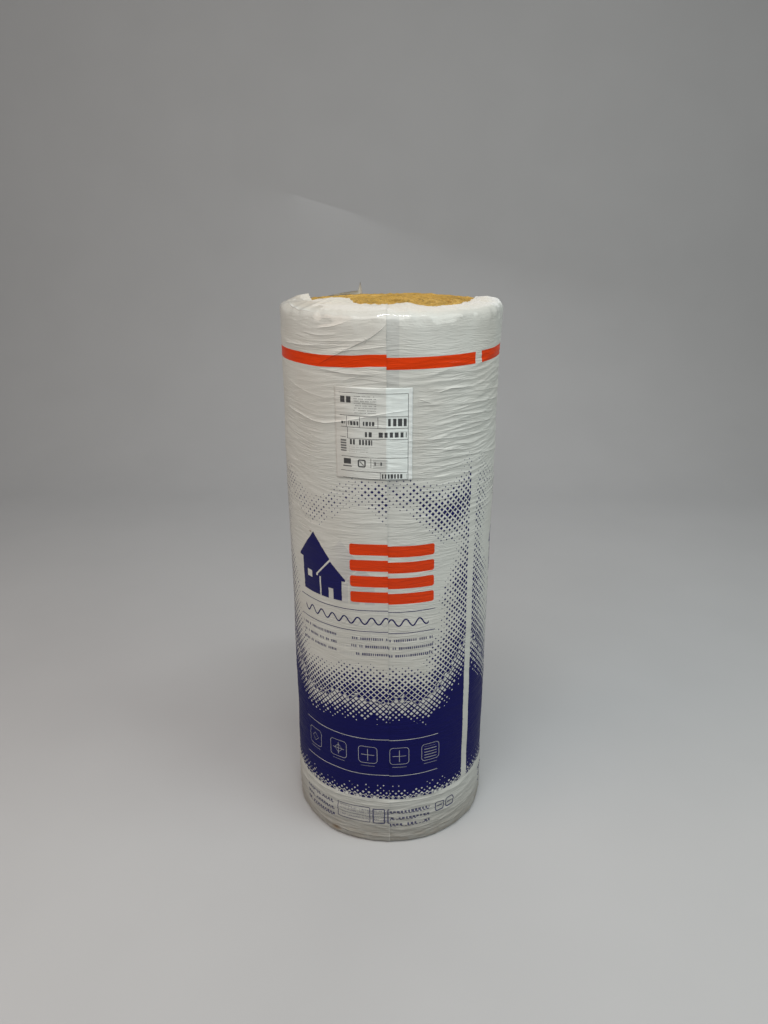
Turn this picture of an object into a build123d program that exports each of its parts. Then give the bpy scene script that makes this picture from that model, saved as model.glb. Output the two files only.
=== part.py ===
from build123d import *
import math
import os

# A roll of glass wool blanket, standing on its end in its plastic film.
# Millimetres and degrees. The roll's axis is Z, the floor is at 0, and the front faces -Y.

# The rolled blanket
blanket_width = 1200.0
roll_diameter = 451.0
bore_diameter = 38.0
turn_pitch = 35.0
turn_groove_width = 5.0
turn_groove_depth = 9.0
outer_turn_least = 22.0

# The film around it. It is a closed shell, thicker than the real film.
film_thickness = 1.0
film_clearance = 0.3
foot_round = 9.0
rim_round = 14.0
top_fold_width = 100.0
foot_fold_width = 95.0
seam_turn = -1.0
overlap_length = 150.0
overlap_taper = 30.0
bare_start_turn = 119.0
bare_end_turn = 198.0
bare_fold_width = 22.0

# The paper label across the seam
label_width = 150.0
label_height = 180.0
label_below_rim = 138.0
label_turn = -8.0
label_thickness = 0.3
label_clearance = 0.35
label_step_length = 9.0

# What follows from them
roll_radius = roll_diameter / 2
cavity_radius = roll_radius + film_clearance
film_radius = cavity_radius + film_thickness
roll_bottom = film_thickness + film_clearance
roll_top = roll_bottom + blanket_width
cavity_top = roll_top + film_clearance
total_height = cavity_top + film_thickness
front = -90.0


def polar(radius, angle):
    """The point at this distance from the axis, at this angle from +X."""
    turn = math.radians(angle)
    return (radius * math.cos(turn), radius * math.sin(turn))


def arc_angle(length, radius):
    """The angle that an arc of this length spans."""
    return math.degrees(length / radius)


def round_section(radius, bottom, top, foot, rim):
    """The right half of a drum's section, with its two outer corners rounded."""
    with BuildSketch(Plane.XZ) as section:
        with BuildLine():
            Polyline((0, top), (0, bottom), (radius - foot, bottom))
            CenterArc((radius - foot, bottom + foot), foot, -90, 90)
            Line((radius, bottom + foot), (radius, top - rim))
            CenterArc((radius - rim, top - rim), rim, 0, 90)
            Line((radius - rim, top), (0, top))
        make_face()
    return section.sketch


def drum(radius, bottom, top, foot, rim):
    """A solid drum about the axis, with a rounded foot and rim."""
    return revolve(round_section(radius, bottom, top, foot, rim), axis=Axis.Z)


def turn_groove(depth):
    """The gap between the blanket's turns: a spiral of half circles, each wider than the last."""
    step = turn_pitch / 2
    first_radius = bore_diameter / 2 + step
    last_radius = roll_radius - outer_turn_least - step
    half_turns = int((last_radius - first_radius) / step) + 1
    half_width = turn_groove_width / 2
    middles = [(step / 2 if half % 2 else -step / 2, 0) for half in range(half_turns)]
    radii = [first_radius + half * step for half in range(half_turns)]
    starts = [180.0 * (half % 2) for half in range(half_turns)]
    with BuildSketch() as spiral:
        with BuildLine():
            for middle, radius, start in zip(middles, radii, starts):
                CenterArc(middle, radius + half_width, start, 180)
                CenterArc(middle, radius - half_width, start, 180)
            for middle, radius, angle in (
                (middles[0], radii[0], starts[0]),
                (middles[-1], radii[-1], starts[-1] + 180),
            ):
                inner = polar(radius - half_width, angle)
                outer = polar(radius + half_width, angle)
                Line((middle[0] + inner[0], inner[1]), (middle[0] + outer[0], outer[1]))
        make_face()
    return extrude(spiral.sketch, amount=depth)


def wool_roll():
    """The blanket's turns as one turned solid, with its bore and with its turns cut into both ends."""
    inset = film_thickness + film_clearance
    solid = drum(roll_radius, roll_bottom, roll_top, foot_round - inset, rim_round - inset)
    solid -= Pos(0, 0, roll_bottom) * Cylinder(
        bore_diameter / 2, blanket_width, align=(Align.CENTER, Align.CENTER, Align.MIN)
    )
    solid -= Pos(0, 0, roll_bottom) * turn_groove(turn_groove_depth)
    solid -= Pos(0, 0, roll_top - turn_groove_depth) * turn_groove(turn_groove_depth)
    return solid


def film_overlap():
    """The film's outer end, which lies on its own first turn and stops at the upright seam."""
    seam = front + seam_turn
    far = seam - arc_angle(overlap_length, film_radius)
    taper = far + arc_angle(overlap_taper, film_radius)
    outer = film_radius + film_thickness
    root = film_radius - film_thickness / 2
    with BuildSketch() as plan:
        with BuildLine():
            CenterArc((0, 0), outer, taper, seam - taper)
            Polyline(polar(outer, taper), polar(film_radius, far), polar(root, far))
            CenterArc((0, 0), root, far, seam - far)
            Line(polar(root, seam), polar(outer, seam))
        make_face()
    height = total_height - foot_round - rim_round
    return Pos(0, 0, foot_round) * extrude(plan.sketch, amount=height)


def film_wrap():
    """The film: a wall around the roll, with its two ends folded in over the wool."""
    shell = drum(film_radius, 0, total_height, foot_round, rim_round)
    inner_round = (foot_round - film_thickness, rim_round - film_thickness)
    shell -= drum(cavity_radius, film_thickness, cavity_top, *inner_round)
    middle = total_height / 2
    for fold_width, height, side in (
        (foot_fold_width, 0, Align.MIN),
        (top_fold_width, total_height, Align.MAX),
    ):
        window = Cylinder(
            film_radius - fold_width, middle, align=(Align.CENTER, Align.CENTER, side)
        )
        shell -= Pos(0, 0, height) * window
    return shell - bare_rim() + film_overlap()


def bare_rim():
    """The stretch at the back of the rim where the film is too short to fold in over the wool."""
    start = front + bare_start_turn
    reach = film_radius - bare_fold_width
    with BuildSketch() as plan:
        with BuildLine():
            Line((0, 0), polar(reach, start))
            CenterArc((0, 0), reach, start, bare_end_turn - bare_start_turn)
            Line(polar(reach, front + bare_end_turn), (0, 0))
        make_face()
    return Pos(0, 0, total_height / 2) * extrude(plan.sketch, amount=total_height)


def label():
    """The paper label, bent around the film and stepping down over the seam."""
    seam = front + seam_turn
    low = film_radius + label_clearance
    high = low + film_thickness
    left = front + label_turn - arc_angle(label_width / 2, high)
    right = front + label_turn + arc_angle(label_width / 2, high)
    foot = seam + arc_angle(label_step_length, low)
    with BuildSketch() as plan:
        with BuildLine():
            for rise in (0, label_thickness):
                CenterArc((0, 0), high + rise, left, seam - left)
                Line(polar(high + rise, seam), polar(low + rise, foot))
                CenterArc((0, 0), low + rise, foot, right - foot)
            Line(polar(high, left), polar(high + label_thickness, left))
            Line(polar(low, right), polar(low + label_thickness, right))
        make_face()
    bottom = total_height - label_below_rim - label_height
    return Pos(0, 0, bottom) * extrude(plan.sketch, amount=label_height)


os.makedirs("parts", exist_ok=True)
nodes = {
    "wool_roll": wool_roll(),
    "film_wrap": film_wrap(),
    "label": label(),
}
for name, shape in nodes.items():
    export_step(shape, f"parts/{name}.step")
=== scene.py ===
import math

import bmesh
import bpy
import numpy as np
from mathutils import Matrix, Vector


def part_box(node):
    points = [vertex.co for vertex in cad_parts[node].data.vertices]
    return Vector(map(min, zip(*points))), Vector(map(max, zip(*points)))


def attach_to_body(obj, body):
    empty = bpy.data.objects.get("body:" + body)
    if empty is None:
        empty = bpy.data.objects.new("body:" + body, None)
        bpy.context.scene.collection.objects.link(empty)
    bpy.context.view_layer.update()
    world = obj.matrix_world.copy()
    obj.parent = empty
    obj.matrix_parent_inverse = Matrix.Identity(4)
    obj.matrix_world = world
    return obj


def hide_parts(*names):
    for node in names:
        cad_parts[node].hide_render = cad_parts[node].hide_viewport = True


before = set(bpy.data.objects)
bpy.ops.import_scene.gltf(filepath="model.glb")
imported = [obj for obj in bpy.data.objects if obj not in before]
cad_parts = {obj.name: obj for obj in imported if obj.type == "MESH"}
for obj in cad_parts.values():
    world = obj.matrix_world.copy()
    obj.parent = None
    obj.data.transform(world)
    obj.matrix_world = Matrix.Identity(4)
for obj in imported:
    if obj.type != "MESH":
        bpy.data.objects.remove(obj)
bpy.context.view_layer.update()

# An insulation roll on its end: its wool, its printed and creased film, and its label.
# Lengths are in metres. Turns are in degrees from the front line, positive to the right.
# On the film, "along" is the way around the roll from the front line, and "up" is the height on its wall.

# Sizes that the frame gives
FILM_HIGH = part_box("film_wrap")[1]
WOOL_LOW, WOOL_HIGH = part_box("wool_roll")
LABEL_LOW, LABEL_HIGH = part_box("label")
RADIUS = FILM_HIGH[0]
HEIGHT = FILM_HIGH[2]
WOOL_RADIUS = WOOL_HIGH[0]
GIRTH = 2 * math.pi * RADIUS

# The film's build
FOOT_ROUND = 0.009
RIM_ROUND = 0.014
FOOT_FOLD = 0.095
FOOT_LIFT = 0.0008
SEAM_TURN_TOP = -1.6
SEAM_TURN_FOOT = -0.1
OVERLAP = 0.150
LAYER_STEP = 0.0010
LAYER_CLIMB = 0.060

# The film's grid. Its columns are further apart under the overlap, and closer in the photograph's view and
# at the torn tip. The steps of its wall rows come after the height up to which they hold.
COLUMN_STEP = 0.0098
HIDDEN_STEP = 0.012
FRONT_TURNS, FRONT_STEP = (-60, 95), 0.0056
TIP_TURNS, TIP_STEP = (-166, -158), 0.0024
ROW_STEPS = ((0.13, 0.0030), (0.78, 0.0042), (HEIGHT, 0.0020))
FOOT_FOLD_ROWS = 9
FOOT_BEND_ROWS = 6
RIM_BEND_ROWS = 10
TOP_FOLD_ROWS = 29

# The print, in panels that repeat around the film with a pale gap between them
PANEL = 0.4512
PANEL_START = 0.2512
PANEL_SKEW = 0.0067
PANEL_PIVOT = 0.25
PANEL_GAP = 0.0155
PANEL_GAP_LEFT = 0.0042

# Heights of the print's parts on the film
FOOT_PRINT = 0.0500
BAND_FOOT = 0.126
BAND_RULES = (0.190, 0.285)
SIGN_MIDDLE = 0.2430
BAND_SOLID = 0.322
BAND_FADE = 0.470
SMALL_PRINT = 0.4930
MARK_RULES = (0.5505, 0.5995)
WAVE_MIDDLE = 0.5750
RIBBON = 0.832
STRIPE = (1.1000, 1.1225)

PRINT_BLUE = (13, 14, 80)
PRINT_ORANGE = (206, 56, 0)

# Brown stains on the film, as (turn, height, size)
STAINS = ((-33.4, 0.020, 0.016), (-46.9, 0.754, 0.005))

# Places of the print's parts across a panel
RULE_FROM, RULE_TO = 0.093, 0.352
SIGN_FROM = 0.0900
SIGN_PITCH = 0.0730
DOT_PITCH = 0.0135
PALE_FROM = 0.62
WAVE_PITCH = 0.030
WAVE_HEIGHT = 0.0075
WAVE_TURN = 2 * math.pi

# The ornament's two houses as (middle, half width, eaves, peak), with a pale edge around the nearer one
HOUSES = ((0.150, 0.054, 0.694, 0.756), (0.196, 0.040, 0.664, 0.706), (0.196, 0.035, 0.664, 0.700))
HOUSE_FOOT = 0.616
BARS = (0.6125, 0.7525)
BAR_PITCH = 0.035

# How far the print sits above its plain height, in millimetres, as (turn, at the band, at the stripe)
PRINT_RISES = (
    (0, -3.5, -2), (90, -3.5, -2), (180, 0, 0), (240, -6, -3), (270, -12, -4), (290, -9.5, -3.5),
    (310, -7, -2.5), (325, -5, -2.5), (334, -4.5, -0.5), (342, -3.5, 0.5), (350, -2.5, 3.5), (360, -1, 4),
)
RISE_FROM = 0.24

# The label's own lines, from its lower left corner: its level rules as (height, from, to), and its upright
# ones as (place, from, to)
LABEL_RULES = (
    (0.1690, 0.009, 0.142), (0.1254, 0.010, 0.142), (0.1029, 0.012, 0.142), (0.0830, 0.010, 0.022),
    (0.0810, 0.025, 0.142), (0.0445, 0.012, 0.142), (0.0158, 0.010, 0.142), (0.0015, 0.014, 0.142),
)
LABEL_UPRIGHTS = (
    (0.1420, 0.0015, 0.1690), (0.0240, 0.1029, 0.1240), (0.0500, 0.1029, 0.1240), (0.0850, 0.1029, 0.1240),
    (0.0255, 0.0810, 0.1029), (0.0710, 0.0245, 0.0430), (0.0890, 0.0015, 0.0158),
)
# Its solid marks as (from, to, low, high), and its areas of dashes after the width of a dash's cell
LABEL_BLOCKS = (
    (0.0120, 0.0210, 0.1500, 0.1625), (0.0240, 0.0330, 0.1500, 0.1625),
    (0.0165, 0.0315, 0.0295, 0.0405), (0.0150, 0.0330, 0.0240, 0.0262),
)
LABEL_DASHES = (
    (0.0100, ((0.100, 0.139, 0.1070, 0.1215), (0.060, 0.139, 0.0850, 0.0950))),
    (0.0060, (
        (0.028, 0.048, 0.1070, 0.1150), (0.053, 0.080, 0.1070, 0.1150), (0.029, 0.074, 0.0690, 0.0795),
        (0.092, 0.140, 0.0035, 0.0125), (0.078, 0.101, 0.0290, 0.0360), (0.013, 0.021, 0.1090, 0.1140),
    )),
)
# Where the seam runs under the label: the place on it, and its height as a share of the roll's
LABEL_SEAM = 0.1005
LABEL_SHARE = 0.81
# How far its back stands off the film's plain shape, and its thickness and grid
LABEL_RISE = 0.0011
LABEL_THICKNESS = 0.0003
LABEL_GRID = (61, 91)

# The rolled blanket
TURN_PITCH = 0.035
BORE_RADIUS = 0.019
GROOVE_DEPTH = 0.011
WOOL_SPOKES = 300
TOP_RINGS = 96
FOOT_RINGS = 46
TOP_SEED = 60
FOOT_SEED = 80
WOOL_COLOURS = ((0.30, (92, 78, 32)), (0.50, (184, 147, 70)), (0.72, (228, 196, 118)))

# The camera, as in the photograph: 1.363 m up, looking down by 20 degrees
CAMERA_BACK = 1.704
CAMERA_UP = 1.363
CAMERA_PITCH = 20.24
CAMERA_YAW = -0.44
CAMERA_ROLL = -0.18
CAMERA_LENS = 28.125
CAMERA_SENSOR = 36.0

# Folds that the photograph shows: a line of (turn, height) points, then the fold's height and width in
# millimetres, and how much wider it is on one side
CREASES = (
    (((-1.7, 1.181), (-3.7, 1.172), (-8.2, 1.158), (-14.2, 1.146), (-29.1, 1.117), (-37, 1.101)),
     2.6, 4.2, 0.5),
    (((-36, 1.169), (-27, 1.175), (-21, 1.183)), 1.6, 4.0, 0.3),
    (((-66, 1.131), (-42, 1.135), (-25, 1.141)), 2.0, 4.5, 0.3),
    (((-30, 1.128), (-11, 1.136), (-1.5, 1.141)), 1.7, 4.0, 0.3),
    (((-36, 1.094), (-21, 1.089), (-6, 1.089)), 1.7, 4.0, -0.3),
    (((-24, 1.074), (-12, 1.088)), 1.3, 4.0, 0.0),
    (((-72, 1.066), (-55, 1.051), (-43, 1.043), (-33, 1.039), (-24, 1.051)), 0.9, 3.6, 0.2),
    (((-70, 1.002), (-51, 0.996), (-40, 0.989), (-33, 0.989), (-25, 0.996), (-3, 1.016), (10, 1.023)),
     2.2, 4.0, 0.4),
    (((24, 1.052), (31, 1.058), (40, 1.055)), 2.2, 3.6, 0.2),
    (((14, 1.042), (20, 1.033)), 1.5, 4.0, 0.0),
    (((9, 0.963), (22, 0.962), (39, 0.959), (67, 0.954)), 1.5, 4.0, 0.3),
    (((22, 0.942), (31, 0.937), (42, 0.931)), 2.2, 3.6, 0.2),
    (((-19, 0.790), (-5, 0.795)), 1.2, 4.0, 0.0),
    (((-80, 1.216), (-62, 1.207), (-52, 1.2005), (-38, 1.2000)), 2.2, 4.0, 0.3),
    (((-86, 1.246), (-68, 1.242), (-53, 1.241)), 2.4, 4.0, 0.3),
    (((-56, 1.243), (-47, 1.241), (-38, 1.252)), 2.2, 4.0, 0.3),
    (((-46, 1.159), (-38, 1.156), (-26, 1.160)), 1.4, 4.0, 0.0),
    (((-44, 1.144), (-20, 1.149), (-4, 1.153)), 1.2, 4.0, 0.2),
    (((30, 1.005), (46, 1.001), (70, 0.990)), 1.8, 3.6, 0.2),
    (((34, 1.024), (50, 1.022), (76, 1.012)), 1.8, 3.6, -0.2),
    (((40, 0.985), (56, 0.978), (80, 0.968)), 1.8, 3.6, 0.2),
    (((46, 1.045), (62, 1.040), (82, 1.028)), 1.6, 3.6, 0.2),
    (((50, 0.915), (64, 0.908), (82, 0.898)), 1.6, 3.6, 0.2),
    (((-84, 0.098), (-60, 0.108), (-30, 0.115), (0, 0.116), (30, 0.113), (62, 0.108)), 2.6, 4.5, 0.3),
    (((-75, 0.080), (-50, 0.093), (-20, 0.103), (10, 0.105)), 2.2, 4.0, -0.3),
    (((2, 0.036), (25, 0.040), (48, 0.047), (80, 0.060)), 2.8, 4.5, 0.3),
    (((20, 0.022), (50, 0.028), (85, 0.040)), 2.6, 4.0, 0.3),
    (((-70, 0.032), (-45, 0.023), (-15, 0.018), (5, 0.020)), 2.6, 4.5, 0.3),
)

# The film's top fold around the rim, in millimetres, as (turn, how far it reaches in, how much it lifts)
RIM_EDGE = (
    (-162, 5, 24), (-161.2, 6, 4), (-156, 6, 1), (-150, 6, 0), (-143, 5, -1), (-137, 5, -1), (-125, 6, -2),
    (-116, 12, -1), (-109, 30, 0), (-104, 42, 4), (-99, 53, 8), (-94, 60, 5), (-84, 68, 2), (-75, 68, 0),
    (-71, 66, -1), (-68, 84, 1), (-65, 104, 5), (-59, 112, 9), (-52, 115, 11), (-44, 112, 8), (-36, 104, 4),
    (-26, 96, 1), (-16, 100, 1), (-8, 105, 0), (2, 112, 1), (9, 114, 3), (15, 108, 4), (20, 96, 2),
    (25, 62, 0), (35, 56, 0), (46, 48, 0), (56, 52, 1), (66, 55, 0), (73, 54, 1), (78, 53, 3), (82, 51, 0),
    (86, 49, 2), (90, 47, 0), (95, 44, 2), (101, 36, 0), (110, 26, -1), (119, 14, -2), (128, 4, -6),
    (190, 4, -6), (196.8, 4, -4),
)
# How far the fold bulges between the rim and its edge, and how far the rim sinks, both in millimetres
RIM_BULGE = (
    (-162, 0), (-116, 0), (-109, 1), (-104, 2), (-71, 2), (-68, 3), (-44, 3), (-36, 2), (73, 2), (78, 1),
    (119, 1), (128, 0),
)
RIM_SINK = (
    (-162, 4), (-161.2, 4), (-156, 3), (-150, 3), (-143, 5), (-137, 6), (-125, 6), (-116, 5), (-109, 2),
    (-104, 0), (95, 0), (101, 3), (110, 6), (119, 7), (128, 10), (190, 10), (196.8, 8),
)
# How many degrees of the rim's bend the film covers
RIM_BEND = (
    (-162, 35), (-161.2, 40), (-156, 45), (-150, 50), (-125, 50), (-116, 60), (-109, 80), (-104, 90),
    (95, 90), (101, 85), (110, 80), (119, 65), (128, 50), (196.8, 50),
)


def smooth(value, low, high):
    """A soft step from 0 at low to 1 at high."""
    share = np.clip((value - low) / (high - low), 0, 1)
    return share * share * (3 - 2 * share)


def window(value, low, high, soft):
    """1 between low and high, falling to 0 over soft outside them."""
    return smooth(value, low - soft, low) * (1 - smooth(value, high, high + soft))


def shares(steps):
    """The shares from 0 to 1 in so many steps."""
    return np.linspace(0, 1, steps + 1)


def lattice_noise(x, y, seed, columns=0):
    """Gradient noise from about -1 to 1. With columns, it repeats after so many cells along x."""
    size = 256
    angles = np.random.default_rng(seed).uniform(0, 2 * math.pi, (size, size))
    x_cell = np.floor(x).astype(int)
    y_cell = np.floor(y).astype(int)
    x_part = x - x_cell
    y_part = y - y_cell
    x_fade = x_part**3 * (x_part * (6 * x_part - 15) + 10)
    y_fade = y_part**3 * (y_part * (6 * y_part - 15) + 10)
    total = 0
    for i in (0, 1):
        for j in (0, 1):
            column = (x_cell + i) % (columns or size)
            angle = angles[column % size, (y_cell + j) % size]
            slope = np.cos(angle) * (x_part - i) + np.sin(angle) * (y_part - j)
            total = total + slope * (x_fade if i else 1 - x_fade) * (y_fade if j else 1 - y_fade)
    return total * 1.5


def wall_noise(along, up, cells, tall, seed):
    """Noise on the film, in so many cells around the roll, each this tall. It closes after one turn."""
    return lattice_noise(along / GIRTH * cells, up / tall, seed, cells)


def crests(along, up, cells, tall, seed):
    """Noise on the film with sharp crests at 1 and round valleys near 0."""
    return (1 - np.abs(wall_noise(along, up, cells, tall, seed))) ** 3


def on_roll(angle, distance, height):
    """Points at these angles from the front line, in radians, distances from the axis and heights."""
    return np.stack([distance * np.sin(angle), -distance * np.cos(angle), height], axis=-1)


def seam_along(share):
    """Where the seam lies along the film, at this share of the roll's height. It leans a little."""
    return math.radians(SEAM_TURN_FOOT + (SEAM_TURN_TOP - SEAM_TURN_FOOT) * share) * RADIUS


def along_at(x):
    """How far along the film a place on the roll's front lies that is this far to the right."""
    return math.asin(x / RADIUS) * RADIUS


def wrap_along(along):
    """The same place on the roll, from half a girth left of the front to half a girth right of it."""
    return (along + GIRTH / 2) % GIRTH - GIRTH / 2


def crease(along, up, points):
    """The signed distance to a line of (turn, height) points, and a strength that fades at its ends."""
    line = np.array([(math.radians(turn) * RADIUS, place) for turn, place in points])
    steps = np.linalg.norm(np.diff(line, axis=0), axis=1)
    reached = np.concatenate([[0], np.cumsum(steps)]) / steps.sum()
    near = np.full(along.shape, 1e9)
    side = np.zeros(along.shape)
    share = np.zeros(along.shape)
    for start, end, first, last in zip(line[:-1], line[1:], reached[:-1], reached[1:]):
        step = end - start
        part = ((along - start[0]) * step[0] + (up - start[1]) * step[1]) / (step @ step)
        part = np.clip(part, 0, 1)
        across = (along - start[0]) * step[1] - (up - start[1]) * step[0]
        distance = np.hypot(along - start[0] - part * step[0], up - start[1] - part * step[1])
        closer = distance < near
        near = np.where(closer, distance, near)
        side = np.where(closer, across, side)
        share = np.where(closer, first + part * (last - first), share)
    taper = np.sin(math.pi * np.clip(share * 0.94 + 0.03, 0, 1)) ** 0.5
    return np.copysign(near, side), taper


def back_creases():
    """Long folds on the roll's back, which the photograph doesn't show, like those on its front."""
    draw = np.random.default_rng(9)
    count = 26
    folds = []
    for number in range(count):
        side = 1 if number % 2 else -1
        first = draw.uniform(92, 140)
        last = first + draw.uniform(18, 36)
        start = 0.03 + 1.12 * (number + draw.uniform(0, 1)) / count
        rise = draw.uniform(-0.014, 0.014)
        middle = start + 0.3 * rise - 0.004
        points = ((side * first, start), (side * (first + last) / 2, middle), (side * last, start + rise))
        folds.append((points, draw.uniform(1.4, 2.6), 4.0, 0.2))
    return tuple(folds)


FOLDS = CREASES + back_creases()


def body_shape(along, up):
    """How the roll's wall leaves a true cylinder: a faint waist low down, a fuller top, soft lumps."""
    turn = np.degrees(along / RADIUS)
    waist = np.interp(up, (0, 0.3, 0.6, 0.9, 1.06, 1.2), (-0.6, -1.8, -0.8, 0.8, 0.7, 0.9)) / 1000
    lean = 0.0012 * np.sin(along / RADIUS) * np.clip(up / HEIGHT, 0, 1)
    fade = np.where(up > 1.18, 0.03, 0.09)
    shoulder = 0.0036 * window(turn, 62, 118, 22) * window(up, 1.18, 1.186, fade)
    lumps = 0.0014 * wall_noise(along, up, 6, 0.21, 3) + 0.0008 * wall_noise(along, up, 16, 0.07, 4)
    return waist + lean + shoulder + lumps


def tension_folds(along, up):
    """The long near-level folds of the pulled film: strong at the right and the foot, faint at the rim."""
    turn = np.degrees(along / RADIUS)
    drift = 0.010 * wall_noise(along, up, 9, 0.12, 11)
    sag = 0.0035 * wall_noise(along, up, 20, 0.05, 12)
    level = up + drift + sag
    calm = smooth(wall_noise(along, up, 8, 0.10, 13), -0.5, 0.55)
    right = window(turn, 28, 95, 14) * window(up, 0.80, 1.09, 0.05)
    foot = window(up, 0.012, 0.115, 0.02)
    plain = smooth(up, 1.125, 1.145) * window(turn, -4, 70, 10) + smooth(up, 1.142, 1.160)
    strength = (0.30 + 0.55 * calm + 0.18 * right + 1.6 * foot) * (1 - 0.68 * np.minimum(plain, 1))
    broad = crests(along, level, 9, 0.022, 14)
    narrow = crests(along, level + 0.004 * np.sin(along * 30), 14, 0.0125, 15)
    pulled = crests(along, level - 0.06 * along, 7, 0.0125, 16) ** 1.5
    return strength * 0.0010 * (broad + narrow - 0.8) + right * 0.0015 * (pulled - 0.3)


def rim_puckers(along, up):
    """Short upright puckers where the film turns in over the rim and under the foot."""
    turn = np.degrees(along / RADIUS)
    past_rim = up - HEIGHT
    right = window(turn, 62, 118, 12)
    left = window(turn, -116, -76, 10)
    back = 1 - window(turn, -116, 118, 12)
    rough = 0.55 + 0.55 * right + 0.3 * window(turn, -125, -90, 15)
    near_rim = smooth(past_rim, -0.055, -0.004)
    folded = smooth(past_rim, 0.012, 0.050)
    pleats = crests(along + 0.25 * past_rim, up, 38, 0.11, 21) - 0.4
    crumple = wall_noise(along, up, 70, 0.018, 22)
    wall = near_rim * (1 - 0.5 * folded) * rough * (0.0030 * pleats + 0.0014 * crumple)
    full = 0.8 * np.maximum(right, back) + 0.4 * left * (1 - back)
    rounded = (full - 1) * 0.0035 * np.exp(-(((past_rim + 0.003) / 0.016) ** 2))
    rays = crests(along + 0.2 * past_rim, up, 44, 0.16, 23) - 0.4
    sharp = crests(along + 0.35 * past_rim, up, 61, 0.09, 24) ** 2 - 0.2
    fan = folded * (rough + 0.35) * (0.0021 * rays + 0.0014 * sharp)
    near_foot = 1 - smooth(up, 0.002, 0.030)
    return wall + rounded + fan + near_foot * 0.0018 * pleats


def film_relief(along, up):
    """The film's height over its plain shape, at places along and up the roll's wall."""
    relief = body_shape(along, up) + tension_folds(along, up) + rim_puckers(along, up)
    for points, height, width, skew in FOLDS:
        distance, taper = crease(along, up, points)
        reach = width / 1000 * np.where(distance > 0, 1 + skew, 1 - skew)
        relief = relief + 0.7 * height / 1000 * taper * np.exp(-((np.abs(distance) / reach) ** 1.5))
    return relief


def nearest_crease(along, up):
    """The signed distance to the nearest drawn fold, and that fold's height there, in metres."""
    nearest = np.full(along.shape, 0.05)
    strength = np.zeros(along.shape)
    for points, height, *_ in FOLDS:
        distance, taper = crease(along, up, points)
        closer = np.abs(distance) < np.abs(nearest)
        fade = 1 - smooth(np.abs(distance), 0.003, 0.0065)
        nearest = np.where(closer, distance, nearest)
        strength = np.where(closer, height / 1000 * taper * fade, strength)
    return np.stack([nearest, strength], axis=-1)


def around_rim(turn, curve, column=1):
    """A column of one of the rim's curves at each turn, in the unit of the curve."""
    start = curve[0][0]
    places = [row[0] - start for row in curve] + [360]
    values = [row[column] for row in curve] + [curve[0][column]]
    return np.interp((turn - start) % 360, places, values)


def film_columns():
    """How far along the film each column of its grid lies. They are closest where most can be seen."""
    start = seam_along(1) - OVERLAP
    end = seam_along(1) + GIRTH
    columns = [start]
    while columns[-1] < end:
        turn = math.degrees(wrap_along(columns[-1]) / RADIUS)
        step = COLUMN_STEP
        if columns[-1] < start + OVERLAP - 0.01:
            step = HIDDEN_STEP
        elif FRONT_TURNS[0] < turn < FRONT_TURNS[1]:
            step = FRONT_STEP
        elif TIP_TURNS[0] < turn < TIP_TURNS[1]:
            step = TIP_STEP
        columns.append(columns[-1] + step)
    columns[-1] = end
    return np.array(columns)


def film_rows():
    """The rows of the film's grid: the stretch that each is on, its share of it, and its place up."""
    foot_arc = FOOT_ROUND * math.pi / 2
    bend_start = FOOT_ROUND - foot_arc
    fold_start = bend_start - FOOT_FOLD
    wall_top = HEIGHT - RIM_ROUND
    rim_arc = RIM_ROUND * math.pi / 2
    levels = [FOOT_ROUND]
    while levels[-1] < wall_top:
        levels.append(levels[-1] + next(step for height, step in ROW_STEPS if levels[-1] < height))
    levels[-1] = wall_top
    rows = [("foot fold", share, fold_start + FOOT_FOLD * share) for share in shares(FOOT_FOLD_ROWS)[:-1]]
    rows += [("foot bend", share, bend_start + foot_arc * share) for share in shares(FOOT_BEND_ROWS)[:-1]]
    rows += [("wall", 0.0, level) for level in levels]
    rows += [("rim bend", share, wall_top + rim_arc * share) for share in shares(RIM_BEND_ROWS)[1:]]
    rows += [("top fold", share, wall_top + rim_arc) for share in shares(TOP_FOLD_ROWS)[1:]]
    return rows


def film_base(turn, stretch, share, level):
    """The film's plain shape at each turn of a row: its distance from the axis and its height."""
    if stretch == "foot fold":
        return RADIUS - FOOT_ROUND - (1 - share) * FOOT_FOLD + 0 * turn, FOOT_LIFT + 0 * turn
    if stretch == "foot bend":
        angle = math.radians(-90 + 90 * share)
        distance = RADIUS - FOOT_ROUND + FOOT_ROUND * math.cos(angle)
        return distance + 0 * turn, FOOT_ROUND + FOOT_ROUND * math.sin(angle) + 0 * turn
    sink = around_rim(turn, RIM_SINK) / 1000
    if stretch == "wall":
        return RADIUS + 0 * turn, level - sink * smooth(level, HEIGHT - 0.09, HEIGHT - RIM_ROUND)
    bend = np.radians(around_rim(turn, RIM_BEND)) * (share if stretch == "rim bend" else 1)
    distance = RADIUS - RIM_ROUND + RIM_ROUND * np.cos(bend)
    height = HEIGHT - RIM_ROUND - sink + RIM_ROUND * np.sin(bend)
    if stretch == "rim bend":
        return distance, height
    ragged = 1 + 0.05 * wall_noise(np.radians(turn) * RADIUS, 0.5 + 0 * turn, 40, 1, 31)
    reach = around_rim(turn, RIM_EDGE) / 1000 * ragged
    edge_distance = np.minimum(RADIUS - reach, distance - 0.002)
    edge_height = HEIGHT - sink + around_rim(turn, RIM_EDGE, 2) / 1000
    rise = np.sin(share * math.pi / 2) ** 1.4
    arch = np.sin(math.pi * share) * around_rim(turn, RIM_BULGE) / 1000
    return distance + (edge_distance - distance) * share, height + (edge_height - height) * rise + arch


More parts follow.
